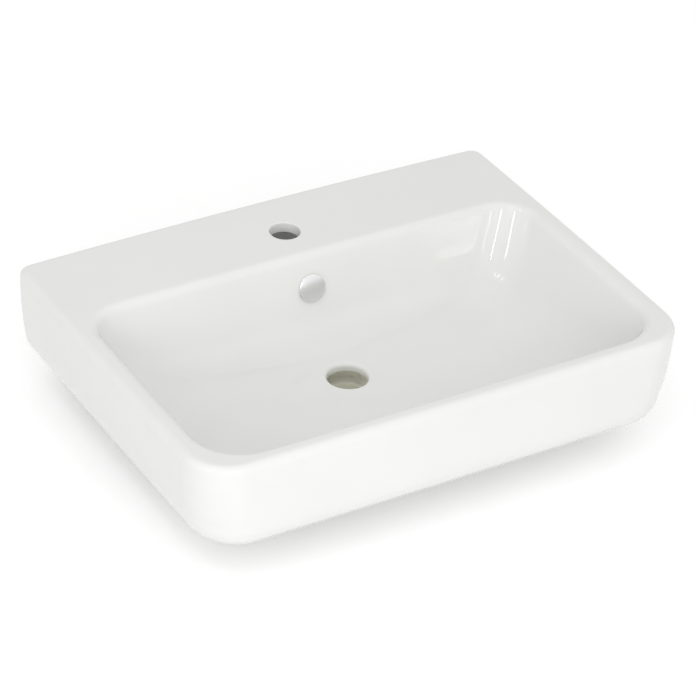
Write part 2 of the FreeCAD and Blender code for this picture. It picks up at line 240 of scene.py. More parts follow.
def cornersAt(piece, share):
    # The rear and front corners' radii, a share of the way from one end to the other.
    return [one + (two - one) * share for one, two in (piece["rearCorner"], piece["frontCorner"])]


def roundDrain(reach):
    return (bowl["drainReach"] - reach, reach, bowl["drainReach"] + reach)


def wallRow(share):
    # The bowl's wall at a share of its depth, on slanted lines below the rim.
    drop = bowl["depth"] * share
    reaches = [
        reach + sign * drop * slope(slant)
        for reach, sign, slant in zip(bowl["rim"], inward, bowl["slants"])
    ]
    return levelRow(reaches, basin["rim"] - drop, cornersAt(bowl, share), bow=bowl["bow"])


def floorRow(share):
    # The floor falls from its foot, at a share of 1, to the drain's seat.
    reach = bowl["seat"] + bowl["seatLand"]
    least = reach * bowl["roundShare"]
    reaches = [near + (far - near) * share for near, far in zip(roundDrain(reach), bowl["floor"])]
    corners = [least + (bowl[name][1] - least) * share for name in ("rearCorner", "frontCorner")]
    return levelRow(reaches, drainLevel + bowl["fall"] * share, corners)


def seatRow():
    return levelRow(roundDrain(bowl["seat"]), drainLevel, (bowl["seat"] * bowl["roundShare"],) * 2)


def sideInset(height):
    # The skirt's sides draw in towards the foot.
    return basin["draft"] * ((basin["rim"] - height) / basin["skirt"]) ** basin["draftPower"]


def lipRow(nose=0, rise=0):
    # The skirt's turned-in lip, at a rise above the foot.
    reach = hollow["lipReach"] + nose
    corners = (basin["rearCorner"][1], basin["frontCorner"][0] - hollow["lipReach"] + basin["draft"])
    reaches = (hollow["backFoot"], basin["halfWidth"] - reach, basin["depth"] - reach)
    return levelRow(reaches, footLevel + rise, corners)


bowlRows = [wallRow(share) for share in bowl["wallShares"]]
bowlRows += [floorRow(share) for share in bowl["floorShares"]]
bowlRows.append(seatRow())


def outerRings():
    # Under the lip, up the skirt, over the rim and down into the bowl.
    back, side, front = -basin["grind"], basin["halfWidth"], basin["depth"]
    foot = (back, side - basin["draft"], front)
    rows = [lipRow(), levelRow(foot, footLevel, cornersAt(basin, 0), basin["footTurns"])]
    for share in basin["draftShares"]:
        height = footLevel + basin["skirt"] * share
        rows.append(levelRow((back, side - sideInset(height), front), height, cornersAt(basin, share)))
    rimTurns = (basin["rimTurn"],) * 3
    rows.append(levelRow((back, side, front), basin["rim"], cornersAt(basin, 1), rimTurns))
    bowlTurns = (bowl["turn"],) * 3
    rows.append(levelRow(bowl["rim"], basin["rim"], cornersAt(bowl, 0), bowlTurns, bowl["bow"]))
    return ringsOf(rows + bowlRows)


def innerRings():
    # Over the lip's end, up inside the skirt, under the rim and the deck, and down
    # behind the bowl.
    thick, nose, wall = hollow["skirtWall"], hollow["lipNose"], bowl["wall"]
    back, side, front = hollow["backWall"], basin["halfWidth"] - thick, basin["depth"] - thick
    rows = [lipRow(), lipRow(nose, nose), lipRow(nose, thick - nose), lipRow(0, thick)]
    lipTop = footLevel + thick
    skirtCorners = (basin["rearCorner"][1], basin["frontCorner"][0] - thick)
    rows.append(ringRow(
        (back, side - basin["draft"], front),
        (footLevel + hollow["panelRise"], lipTop, lipTop),
        skirtCorners,
        (hollow["panelTurn"], basin["footTurns"][1] - thick, basin["footTurns"][2] - thick),
    ))
    height = footLevel + basin["skirt"] * basin["draftShares"][0]
    rows.append(levelRow((back, side - sideInset(height), front), height, skirtCorners))
    heights = [basin["rim"] - drop for drop in hollow["drops"]]
    rimCorners = (basin["rearCorner"][1], basin["frontCorner"][1] - thick)
    rows.append(ringRow((back, side, front), heights, rimCorners, hollow["skirtTurns"]))
    reaches = [
        reach + sign * drop * slope(slant) - sign * wall / math.cos(math.radians(slant))
        for reach, sign, drop, slant in zip(bowl["rim"], inward, hollow["drops"], bowl["slants"])
    ]
    bowlCorners = [corner + wall for corner in cornersAt(bowl, 0)]
    rows.append(ringRow(reaches, heights, bowlCorners, hollow["bowlTurns"], bowl["bow"]))
    lines = [
        offsetLine([row[column][:2] for row in bowlRows], -sign * wall)
        for column, sign in enumerate(inward)
    ]
    for k in range(1, len(bowlRows)):
        spread = min(lines[1][k][0] - bowlRows[k][1][0], wall)
        corners = [corner + spread for corner in bowlRows[k][3:5]]
        rows.append((*[(*line[k], 0) for line in lines], *corners, bowlRows[k][5]))
    return ringsOf(rows)


class Form:
    # Collects sheets of four-sided faces, in millimetres, and welds them into one mesh.
    def __init__(self):
        self.points = []
        self.faces = []
        self.finishes = []
        self.count = 0

    def grid(self, rows, finish=0, closed=True, skip=()):
        rows = np.asarray(rows, float)
        deep, wide = rows.shape[:2]
        self.points.append(rows.reshape(-1, 3))
        for r in range(deep - 1):
            for c in range(wide if closed else wide - 1):
                if (r, c) in skip:
                    continue
                low = self.count + r * wide
                across = (c + 1) % wide
                self.faces.append((low + c, low + across, low + wide + across, low + wide + c))
                self.finishes.append(finish)
        self.count += deep * wide

    def mesh(self, name, sharpAngle=38):
        made = bpy.data.meshes.new(name)
        made.from_pydata((np.vstack(self.points) * mm).tolist(), [], self.faces)
        made.polygons.foreach_set("material_index", self.finishes)
        work = bmesh.new()
        work.from_mesh(made)
        bmesh.ops.remove_doubles(work, verts=work.verts, dist=1e-6)
        bmesh.ops.dissolve_degenerate(work, edges=work.edges, dist=1e-7)
        bmesh.ops.recalc_face_normals(work, faces=work.faces)
        work.to_mesh(made)
        work.free()
        made.polygons.foreach_set("use_smooth", [True] * len(made.polygons))
        made.set_sharp_from_angle(angle=math.radians(sharpAngle))
        return made


def blockRound(grid, centre, reach):
    # The rows and columns of a grid that stand at least a reach away on every side.
    away = np.linalg.norm(grid - centre, axis=2)
    row, column = np.unravel_index(away.argmin(), away.shape)
    spans = []
    for step in ((-1, 0), (1, 0), (0, -1), (0, 1)):
        r, c = row, column
        while away[r, c] < reach:
            r, c = r + step[0], c + step[1]
        spans.append(r if step[0] else c)
    return spans


def opened(form, grid, centre, axis, radius, finish=0, steps=5, margin=1.45):
    # Leaves a round opening in a grid. Gives the cells to skip, and the circle's
    # directions and its heights along the axis.
    r0, r1, c0, c1 = blockRound(grid, centre, radius * margin)
    loop = [(r0, c) for c in range(c0, c1)] + [(r, c1) for r in range(r0, r1)]
    loop += [(r1, c) for c in range(c1, c0, -1)] + [(r, c0) for r in range(r1, r0, -1)]
    upward = np.cross(axis, sideways)

    def local(points):
        offset = points - centre
        return offset @ sideways, offset @ upward, offset @ axis

    def terms(u, v):
        u, v = u / radius, v / radius
        return np.stack([np.ones_like(u), u, v, u * u, u * v, v * v, v ** 3, u * u * v, v ** 4], axis=-1)

    u, v, h = local(grid[r0:r1 + 1, c0:c1 + 1].reshape(-1, 3))
    shape = np.linalg.lstsq(terms(u, v), h, rcond=None)[0]
    u, v, h = local(np.array([grid[place] for place in loop]))
    spare = h - terms(u, v) @ shape
    angle = np.arctan2(v, u)
    ringU, ringV = radius * np.cos(angle), radius * np.sin(angle)
    rows = []
    for share in np.linspace(1, 0, steps + 1):
        midU = ringU + (u - ringU) * share
        midV = ringV + (v - ringV) * share
        height = terms(midU, midV) @ shape + spare * share
        rows.append(centre + np.outer(midU, sideways) + np.outer(midV, upward) + np.outer(height, axis))
    form.grid(rows, finish)
    skip = {(r, c) for r in range(r0, r1) for c in range(c0, c1)}
    outward = np.outer(np.cos(angle), sideways) + np.outer(np.sin(angle), upward)
    return skip, outward, terms(ringU, ringV) @ shape


def bored(form, centre, axis, outward, heights, radius, turn, foot, finish=0):
    # A round hole's wall with a rounded mouth, down to a foot along the axis.
    rows = []
    for angle in np.linspace(0, math.pi / 2, 7):
        reach = radius + turn * (1 - math.sin(angle))
        drop = turn * (1 - math.cos(angle))
        rows.append(centre + outward * reach + np.outer(heights - drop, axis))
    for share in (0.25, 0.5, 0.75, 1):
        depths = (heights - turn) * (1 - share) + foot * share
        rows.append(centre + outward * radius + np.outer(depths, axis))
    form.grid(rows, finish)


def roundAngles(count):
    return np.linspace(0, 2 * math.pi, count + 1)[:-1]


outer = skinGrid(outerRings())
outer[:, :, 1] = np.minimum(outer[:, :, 1], 0)  # ground flat where it meets the wall
inner = skinGrid(innerRings())
print("skins", outer.shape, inner.shape)

tapHole = {"reach": 70.0, "bore": 17.5, "turn": 1.2}
overflowHole = {"drop": 37.8, "bore": 12.0, "turn": 0.8}
fixing = {
    "reach": 140.0,
    "bore": 10.0,
    "turn": 0.6,
    "pad": 24.0,
    "padTurn": 2.5,
    "padFace": -19.0,
    "padFoot": -9.0,
    "padTurnAngles": (0.2, 1.57),
    "hiddenRadius": 19.0,  # the back panel is left out under the pad
    "hiddenDepths": (-16.0, -10.0),
}
body = Form()


def holeThrough(sizes, centre, under, axis, thickness):
    # A round hole from the skin in view to the hidden one. Gives both skins' cells to skip.
    bore, turn = sizes["bore"], sizes["turn"]
    seen, outward, heights = opened(body, outer, centre, axis, bore + turn)
    hidden, _, lower = opened(body, inner, under, -axis, bore)
    bored(body, centre, axis, outward, heights, bore, turn, -thickness - lower.mean())
    return seen, hidden


deckWall = hollow["drops"][0]
tapCentre = middlePoint(tapHole["reach"], basin["rim"])
underTap = middlePoint(tapHole["reach"], basin["rim"] - deckWall)
skipOuter, skipInner = holeThrough(tapHole, tapCentre, underTap, upright, deckWall)

backSlant = math.radians(bowl["slants"][0])
slantAxis = np.array((0.0, -math.cos(backSlant), math.sin(backSlant)))
overflowReach = bowl["rim"][0] + bowl["bow"] + overflowHole["drop"] * math.tan(backSlant)
overflowCentre = middlePoint(overflowReach, basin["rim"] - overflowHole["drop"])
behindWall = overflowCentre - slantAxis * bowl["wall"]
seen, hidden = holeThrough(overflowHole, overflowCentre, behindWall, slantAxis, bowl["wall"])
skipOuter |= seen
skipInner |= hidden

for sign in (-1, 1):
    place = np.array((fixing["reach"] * sign, 0.0, 0.0))
    bore, turn, face = fixing["bore"], fixing["turn"], fixing["padFace"]
    seen, outward, heights = opened(body, outer, place, intoWall, bore + turn, finish=1)
    skipOuter |= seen
    bored(body, place, intoWall, outward, heights, bore, turn, face, finish=1)
    padTurn = fixing["padTurn"]
    flat = fixing["pad"] - padTurn
    pad = [(bore, face), (flat, face)]
    for a in np.linspace(*fixing["padTurnAngles"], 6):
        pad.append((flat + padTurn * math.sin(a), face + padTurn - padTurn * math.cos(a)))
    pad.append((fixing["pad"], fixing["padFoot"]))
    turnedPad = [
        [(place[0] + r * math.cos(a), y, r * math.sin(a)) for a in roundAngles(64)]
        for r, y in pad
    ]
    body.grid(turnedPad)
    away = np.hypot(inner[:, :, 0] - place[0], inner[:, :, 2])
    deepest, shallowest = fixing["hiddenDepths"]
    near = (away < fixing["hiddenRadius"]) & (inner[:, :, 1] > deepest) & (inner[:, :, 1] < shallowest)
    skipInner |= {(int(r), int(c)) for r, c in zip(*np.nonzero(near))}

# The ground wall face stays unglazed.
wallTouch = -0.02
every = {(r, c) for r in range(len(outer) - 1) for c in range(outer.shape[1])}
onWall = {(r, c) for r, c in every if min(outer[r, c, 1], outer[r + 1, c, 1]) > wallTouch}
body.grid(outer, 0, skip=skipOuter | onWall)
body.grid(outer, 1, skip=skipOuter | (every - onWall))
body.grid(inner, 0, skip=skipInner)

# The drain's throat with its overflow chamber, the lower neck and the boss, by drops
# below the seat. An arris is an eased edge, as steps outward and upward from a corner.
throat = {
    "bore": 23,
    "edge": 4.5,
    "edgeRing": 7,
    "neck": 9.5,
    "neckArris": ((0, 0.7), (0.3, 0.1), (1.2, 0)),
    "chamber": 29,
    "chamberFoot": 26.5,
    "chamberArris": ((1, 0), (0.3, -0.2), (0, -0.8)),
    "lowerRing": 36,
    "foot": 48,
    "footArris": ((0, 0.6), (0.6, 0)),
    "footRing": 30,
    "boss": 38,
    "bossTurn": 3,
    "bossRings": (30, 5),
}
duct = {
    "half": 28.8,
    "turn": 1.5,
    "top": 50.2,
    "faceStart": -112,
    "farTop": -101.1,
    "farFoot": -136.3,
    "bend": -165,
    "sections": 48,
    "roofGap": 0.3,
}
casing = {
    "half": 36.8,
    "turn": 5,
    "shell": 8,
    "nearShift": (-4.0, 2.0),
    "farTop": -90.1,
    "farFoot": -130.5,
    "footTurn": 7,
    "end": -205,
    "sections": 60,
}


def quarter(centre, reach, drop, turn, steps=9):
    # A rounding from straight down to straight out, as (radius, height) points.
    angles = np.linspace(0, math.pi / 2, steps)
    return [(centre + reach * math.cos(a), drop + turn * math.sin(a)) for a in angles]


def arris(radius, height, steps):
    return [(radius + outward, height + upward) for outward, upward in steps]


seatRing = outer[-1]
fromDrain = seatRing - drainPoint
drainAngles = np.arctan2(fromDrain[:, 1], fromDrain[:, 0])
drainOut = np.stack([np.cos(drainAngles), np.sin(drainAngles), np.zeros_like(drainAngles)], axis=-1)
mouthEdge = throat["bore"] + throat["edge"]
mouthRing = drainPoint + drainOut * mouthEdge
body.grid([seatRing * share + mouthRing * (1 - share) for share in np.linspace(1, 0, 8)])

profile = quarter(mouthEdge, -throat["edge"], -throat["edge"], throat["edge"])[::-1]
profile.append((throat["bore"], -throat["edgeRing"]))
profile += arris(throat["bore"], -throat["neck"], throat["neckArris"])
chamberTop = len(profile)
chamberHeights = np.linspace(-throat["neck"], -throat["chamberFoot"], 5)
profile += [(throat["chamber"], height) for height in chamberHeights]
chamberEnd = len(profile) - 1
profile += arris(throat["bore"], -throat["chamberFoot"], throat["chamberArris"])
profile.append((throat["bore"], -throat["lowerRing"]))
profile += arris(throat["bore"], -throat["foot"], throat["footArris"])
profile.append((throat["footRing"], -throat["foot"]))
bossTurn = throat["bossTurn"]
profile += quarter(throat["boss"] - bossTurn, bossTurn, bossTurn - throat["foot"], -bossTurn)[::-1]
profile += [(throat["boss"], -drop) for drop in throat["bossRings"]]

# The duct opens into the back of the chamber.
aside = np.abs(drainOut[:, 0]) * throat["chamber"]
mouth = {
    (r, c)
    for r in range(chamberTop, chamberEnd)
    for c in range(len(seatRing))
    if drainOut[c, 1] > 0 and max(aside[c], aside[c - 1]) < duct["half"]
}
body.grid([drainPoint + drainOut * radius + upright * height for radius, height in profile], skip=mouth)


def sampled(corners, count):
    # Points at equal steps along a line of corners.
    corners = np.array(corners, float)
    lengths = np.concatenate(([0], np.cumsum(np.linalg.norm(np.diff(corners, axis=0), axis=1))))
    ticks = np.linspace(0, lengths[-1], count)
    return np.stack([np.interp(ticks, lengths, corners[:, k]) for k in range(corners.shape[1])], axis=-1)


def ductSections(near, far, halfWidth, turn):
    # Sections of a flat duct, each from its near side round its far side and back.
    sections = []
    for one, two in zip(near, far):
        back = (one - two) / np.linalg.norm(one - two)
        loop = [(-halfWidth, one), (-halfWidth, (one + two * 2) / 3)]
        for a in np.linspace(0, math.pi / 2, 6):
            loop.append((-halfWidth + turn * (1 - math.cos(a)), two + back * turn * (1 - math.sin(a))))
        loop += [(turn - halfWidth + (halfWidth - turn) * share, two) for share in (0.25, 0.5, 0.75)]
        loop += [(0, two)] + [(-x, point) for x, point in reversed(loop)]
        sections.append([(x, point[0], point[1]) for x, point in loop])
    return sections


bowlBack = inner[:, sum(skin["across"]), 1:]
ductFace = bowlBack[(bowlBack[:, 0] < duct["faceStart"]) & (bowlBack[:, 1] < duct["top"])]
chamberFoot = drainLevel - throat["chamberFoot"]
waterNear = sampled(np.vstack((ductFace, (drainPoint[1], ductFace[-1, 1]))), duct["sections"])
waterCorners = [(duct["farTop"], duct["top"]), (duct["farFoot"], chamberFoot), (drainPoint[1], chamberFoot)]
waterFar = sampled(waterCorners, duct["sections"])
water = np.array(ductSections(waterNear, waterFar, duct["half"], duct["turn"]))
chamberBack = drainPoint[1] + np.sqrt(throat["chamber"] ** 2 - water[:, :, 0] ** 2)
# Past the bend the sections draw together, so that the last one lies on the chamber's wall.
drawn = np.maximum(duct["bend"] - water[:, :, 1], 0) / (duct["bend"] - drainPoint[1])
water[:, :, 1] = np.maximum(water[:, :, 1], duct["bend"]) + drawn * (chamberBack - duct["bend"])
body.grid(water, closed=False)

roofLevel = drainLevel - throat["neck"] - duct["roofGap"]
roof = []
for share in np.linspace(0, 1, 6):
    row = []
    for x in np.linspace(-duct["half"], duct["half"], 17):
        chamberEdge = drainPoint[1] + math.sqrt(throat["chamber"] ** 2 - x * x)
        row.append((x, duct["bend"] + (chamberEdge - duct["bend"]) * share, roofLevel))
    roof.append(row)
body.grid(roof, closed=False)

casingNear = sampled(ductFace + np.array(casing["nearShift"]), casing["sections"])
casingFoot = chamberFoot - casing["shell"]
casingTop = (casing["farTop"], duct["top"] + casing["shell"])
lowCorner = np.array((casing["farFoot"], casingFoot))
turnStart = toward(lowCorner, casingTop, casing["footTurn"])
turnEnd = toward(lowCorner, (drainPoint[1], casingFoot), casing["footTurn"])
casingCorners = [casingTop, tuple(turnStart)]
for t in np.linspace(0.1, 0.9, 9):
    onTurn = (1 - t) ** 2 * turnStart + 2 * t * (1 - t) * lowCorner + t ** 2 * turnEnd
    casingCorners.append(tuple(onTurn))
casingCorners += [tuple(turnEnd), (casing["end"], casingFoot)]
casingFar = sampled(casingCorners, casing["sections"])
body.grid(ductSections(casingNear, casingFar, casing["half"], casing["turn"]), closed=False)
print("basin sheets", body.count)


class Socket:
    # One output of a material's nodes, with arithmetic that adds the nodes it needs.
    def __init__(self, nodes, output):
        self.nodes = nodes
        self.output = output

    def joined(self, kind, first, second):
        return self.nodes.node("ShaderNodeMath", 0, {0: first, 1: second}, operation=kind)

    def __add__(self, other):
        return self.joined("ADD", self, other)

    def __radd__(self, other):
        return self.joined("ADD", other, self)

    def __sub__(self, other):
        return self.joined("SUBTRACT", self, other)

    def __rsub__(self, other):
        return self.joined("SUBTRACT", other, self)

    def __mul__(self, other):
        return self.joined("MULTIPLY", self, other)

    def __rmul__(self, other):
        return self.joined("MULTIPLY", other, self)

    def between(self, low, high):
        # A smooth step from 0 at low to 1 at high.
        ends = {"Value": self, "From Min": low, "From Max": high}
        return self.nodes.node("ShaderNodeMapRange", "Result", ends, interpolation_type="SMOOTHSTEP")

    def blended(self, first, second):
        # A colour between two others, by this value.
        return self.nodes.node("ShaderNodeMix", 2, {0: self, 6: first, 7: second}, data_type="RGBA")


class Nodes:
    # A node tree, with one method that adds any node to it.
    def __init__(self, tree):
        self.tree = tree

    def fill(self, place, value):
        # A socket takes a link, a colour or a number.
        if isinstance(value, Socket):
            self.tree.links.new(value.output, place)
        elif isinstance(value, tuple):
            place.default_value = (*value, 1)
        else:
            place.default_value = value

    def node(self, kind, output, sockets=None, **settings):
        made = self.tree.nodes.new(kind)
        for key, value in settings.items():
            setattr(made, key, value)
        for key, value in (sockets or {}).items():
            self.fill(made.inputs[key], value)
        return Socket(self, made.outputs[output])

    def shown(self):
        # 1 where the camera, a mirror or a glass looks straight at the surface.
        looks = [
            self.node("ShaderNodeLightPath", name)
            for name in ("Is Camera Ray", "Is Glossy Ray", "Is Transmission Ray")
        ]
        return looks[0] + looks[1] + looks[2]


class Finish(Nodes):
    # A material with a Principled shader and helpers for its textures.
    def __init__(self, name, constants=None):
        self.material = bpy.data.materials.new(name)
        self.material.use_nodes = True
        super().__init__(self.material.node_tree)
        self.shader = self.tree.nodes["Principled BSDF"]
        for key, value in (constants or {}).items():
            self.feed(key, value)

    def feed(self, key, value):
        self.fill(self.shader.inputs[key], value)

    def noise(self, scale, detail):
        place = self.node("ShaderNodeTexCoord", "Object")
        sockets = {"Vector": place, "Scale": scale, "Detail": detail, "Roughness": 0.5}
        return self.node("ShaderNodeTexNoise", 0, sockets)

    def bump(self, height, strength, distance):
        sockets = {"Height": height, "Strength": strength, "Distance": distance}
        self.feed("Normal", self.node("ShaderNodeBump", "Normal", sockets))


glaze = {
    "colour": (0.865, 0.867, 0.848),
    "shade": (0.85, 0.852, 0.833),
    "shadeScale": 7,
    "shadeBand": (0.35, 0.7),
    "deep": (0.88, 0.875, 0.77),
    "roughness": 0.035,
    "haze": 0.02,
    "hazeScale": 60,
    "peel": 0.010,
    "peelDepth": 0.002,
    "peelScale": 38,
    "pitScale": 210,
    "pitShare": 0.12,
}
# Where the glaze takes its yellower drain colour, in metres: in the drain's bore and in the duct's mouth.
# The first two bands are squares of a distance.
drainZone = {
    "reach": 0.219,
    "bore": (0.0006, 0.0007),
    "aside": (0.0009, 0.0011),
    "top": (-0.044, -0.041),
    "foot": (-0.0605, -0.059),
    "front": (-0.252, -0.249),
}
china = Finish("glazedChina", {"IOR": 1.52, "Specular IOR Level": 0.5})
spot = china.node("ShaderNodeTexCoord", "Object")
east, north, rise = (china.node("ShaderNodeSeparateXYZ", axis, {"Vector": spot}) for axis in "XYZ")
fromDrainLine = north + drainZone["reach"]
belowSeat = 1 - rise.between(*drainZone["top"])
inBore = (1 - (east * east + fromDrainLine * fromDrainLine).between(*drainZone["bore"])) * belowSeat
inMiddle = 1 - (east * east).between(*drainZone["aside"])
inDuct = belowSeat * rise.between(*drainZone["foot"]) * inMiddle * north.between(*drainZone["front"])
tone = china.noise(glaze["shadeScale"], 2).between(*glaze["shadeBand"])
tinted = tone.blended(glaze["colour"], glaze["shade"])
china.feed("Base Color", (inBore + inDuct).blended(tinted, glaze["deep"]))
china.feed("Roughness", china.noise(glaze["hazeScale"], 3) * glaze["haze"] + glaze["roughness"])
waves = china.noise(glaze["peelScale"], 1.5) + china.noise(glaze["pitScale"], 1) * glaze["pitShare"]
china.bump(waves, glaze["peel"], glaze["peelDepth"])

bare = {
    "colour": (0.62, 0.60, 0.55),
    "speck": (0.50, 0.48, 0.43),
    "speckBand": (0.4, 0.65),
    "grainScale": 900,
    "roughness": (0.68, 0.2),  # the least, and how much the grain adds
    "bump": (0.25, 0.0004),
}
bisque = Finish("bareChina")
grain = bisque.noise(bare["grainScale"], 4)
bisque.feed("Base Color", grain.between(*bare["speckBand"]).blended(bare["colour"], bare["speck"]))
bisque.feed("Roughness", grain * bare["roughness"][1] + bare["roughness"][0])
bisque.bump(grain, *bare["bump"])

plating = {
    "colour": (0.90, 0.90, 0.905),
    "cloud": (0.85, 0.85, 0.86),
    "cloudScale": 400,
    "brushScale": 900,
    "roughness": (0.18, 0.05),
    "bumpScale": 1500,
    "bump": (0.02, 0.0002),
}
chrome = Finish("platedFace", {"Metallic": 1.0})
clouds = chrome.noise(plating["cloudScale"], 3)
chrome.feed("Base Color", clouds.blended(plating["colour"], plating["cloud"]))
brush = chrome.noise(plating["brushScale"], 4)
chrome.feed("Roughness", brush * plating["roughness"][1] + plating["roughness"][0])
chrome.bump(chrome.noise(plating["bumpScale"], 2), *plating["bump"])


def mouldedFinish(name, settings, refraction):
    # A moulded surface whose one fine grain drives its colour, its gloss and its bump.
    made = Finish(name, {"IOR": refraction})
    speckle = made.noise(settings["scale"], 3)
    made.feed("Base Color", speckle.blended(settings["colour"], settings["dull"]))
    made.feed("Roughness", speckle * settings["roughness"][1] + settings["roughness"][0])
    made.bump(speckle, *settings["bump"])
    return made


plastic = {
    "colour": (0.70, 0.70, 0.69),
    "dull": (0.62, 0.62, 0.61),
    "scale": 700,
    "roughness": (0.32, 0.2),
    "bump": (0.08, 0.0003),
}
rubber = {
    "colour": (0.022, 0.022, 0.022),
    "dull": (0.05, 0.05, 0.048),
    "scale": 1200,
    "roughness": (0.55, 0.2),
    "bump": (0.2, 0.0002),
}
carrier = mouldedFinish("carrierPlastic", plastic, 1.46)
ringRubber = mouldedFinish("ringRubber", rubber, 1.5)
print("finishes made")


def placed(name, form, finishes, node, bodyName, place=None, sharpAngle=38):
    made = bpy.data.objects.new(name, form.mesh(name, sharpAngle))
    bpy.context.scene.collection.objects.link(made)
    for finish in finishes:
        made.data.materials.append(finish.material)
    if place is not None:
        made.data.transform(place)
    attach(made, bodyName)
    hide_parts(node)


placed("basinBody", body, (china, bisque), "basin_body", "basin")

# The overflow cover is turned about its own +Z, the wall's outward normal there.
coverTip = math.radians(90 - bowl["slants"][0])
tilt = Matrix.Translation(Vector(overflowCentre) * mm) @ Matrix.Rotation(coverTip, 4, "X")


def polar(radius, angle, height):
    return (radius * math.cos(angle), radius * math.sin(angle), height)


def turnedRows(rows, count):
    return [[polar(radius, angle, height) for angle in roundAngles(count)] for radius, height in rows]


def cutColumns(count, centres, half):
    # The columns of a turned form whose middles lie in its cuts, by angles in degrees.
    middles = [(column + 0.5) * 360 / count for column in range(count)]
    return {
        column
        for column, angle in enumerate(middles)
        if any(abs(angle - centre) < half for centre in centres)
    }


def walledCuts(form, count, cuts, radii, heights, levels):
    # The walls of a turned form's cuts: upright at their sides, and flat at some levels.
    angles = [column * 2 * math.pi / count for column in range(count + 1)]
    for column in range(count):
        if (column in cuts) != (column - 1 in cuts):
            form.grid([[polar(r, angles[column], z) for r in radii] for z in heights], closed=False)
    for level in levels:
        for column in sorted(cuts):
            ends = angles[column:column + 2]
            form.grid([[polar(r, a, level) for r in radii] for a in ends], closed=False)


cap = {
    "radius": 16.5,
    "shell": 1.1,
    "gap": 0.3,
    "rimArris": ((-0.6, 0), (-0.15, 0), (-0.04, 0.06), (0, 0.2)),
    "windowHeights": (1.2, 1.8, 2.4),
    "windows": (215, 270, 325),
    "windowHalf": 21.3,
    "edgeStart": 0.16,
    "dome": 0.9,
    "centre": 0.02,
    "columns": 180,
}
capInside = cap["radius"] - cap["shell"]
sill, _, capEdge = cap["windowHeights"]


def domeHeight(radius, foot):
    # The height of the cap's shallow dome over its foot.
    rise = cap["dome"]
    sphere = (capInside ** 2 + rise ** 2) / (2 * rise)
    return foot + rise - sphere + math.sqrt(sphere ** 2 - radius ** 2)


faceRadii = [capInside * math.sqrt(1 - k / 14) for k in range(1, 14)]
capRows = [(capInside, cap["gap"])]
capRows += arris(cap["radius"], cap["gap"], cap["rimArris"])
capRows += [(cap["radius"], height) for height in cap["windowHeights"]]
for a in np.linspace(cap["edgeStart"], math.pi / 2, 10):
    capRows.append((capInside + cap["shell"] * math.cos(a), capEdge + cap["shell"] * math.sin(a)))
capRows += [(r, domeHeight(r, capEdge + cap["shell"])) for r in faceRadii + [cap["centre"]]]
capRows.append((cap["centre"], capEdge + cap["dome"]))
capRows += [(r, domeHeight(r, capEdge)) for r in reversed(faceRadii)]
capRows += [(capInside, height) for height in reversed(cap["windowHeights"])]
capRows.append((capInside, cap["gap"]))
inBand = [r >= capInside and sill <= z <= capEdge for r, z in capRows]
windowRows = [r for r in range(len(capRows) - 1) if inBand[r] and inBand[r + 1]]
windows = cutColumns(cap["columns"], cap["windows"], cap["windowHalf"])
capForm = Form()
capForm.grid(turnedRows(capRows, cap["columns"]), skip={(r, c) for r in windowRows for c in windows})
capWalls = (capInside, cap["radius"])
walledCuts(capForm, cap["columns"], windows, capWalls, cap["windowHeights"], (sill, capEdge))
placed("overflowCap", capForm, (chrome,), "overflow_cap", "overflow_cover", tilt, 50)

bush = {
    "bore": 9.05,
    "boreRing": 0.25,
    "boreEase": 0.2,
    "tube": 11.65,
    "foot": -17.0,
    "footEase": (0.45, 0.5),
    "legRing": -12.0,
    "legTop": -8.0,
    "groove": 10.3,
    "grooveHeights": (-5.05, -3.35),
    "boreTopRing": -4.0,
    "tubeRing": -1.0,
    "fillet": 0.2,
    "flange": 15.3,
    "flangeHeights": (0.3, 1.2),
    "flangeFootEase": (0.2, 0.15),
    "flangeTopEase": (0.15, 0.1),
    "slits": (45, 135, 225, 315),
    "slitHalf": 5.4,
    "cheekLift": 0.1,
    "columns": 176,
}
bushBore, tube, flange = bush["bore"], bush["tube"], bush["flange"]
bushFoot, legRing, legTop = bush["foot"], bush["legRing"], bush["legTop"]
grooveFoot, grooveTop = bush["grooveHeights"]
seat, top = bush["flangeHeights"]
bushRows = [
    (bushBore, bushFoot),
    (bushBore + bush["boreRing"], bushFoot),
    (tube - bush["footEase"][0], bushFoot),
    (tube, bushFoot + bush["footEase"][1]),
    (tube, legRing),
    (tube, legTop),
    (tube, grooveFoot),
    (bush["groove"], grooveFoot),
    (bush["groove"], grooveTop),
    (tube, grooveTop),
    (tube, bush["tubeRing"]),
    (tube, seat - bush["fillet"]),
    (tube + bush["fillet"], seat),
    (flange - bush["flangeFootEase"][0], seat),
    (flange, seat + bush["flangeFootEase"][1]),
    (flange, top - bush["flangeTopEase"][1]),
    (flange - bush["flangeTopEase"][0], top),
    (bushBore + bush["boreEase"], top),
    (bushBore, top - bush["boreEase"]),
    (bushBore, bush["boreTopRing"]),
    (bushBore, legTop),
    (bushBore, legRing),
    (bushBore, bushFoot),
]
slits = cutColumns(bush["columns"], bush["slits"], bush["slitHalf"])
legRows = [r for r in range(len(bushRows) - 1) if max(bushRows[r][1], bushRows[r + 1][1]) <= legTop]
bushForm = Form()
bushForm.grid(turnedRows(bushRows, bush["columns"]), skip={(r, c) for r in legRows for c in slits})
cheekHeights = (bushFoot + bush["cheekLift"], legRing, legTop)
walledCuts(bushForm, bush["columns"], slits, (bushBore, tube), cheekHeights, (legTop,))
placed("overflowBush", bushForm, (carrier,), "overflow_bush", "overflow_cover", tilt)

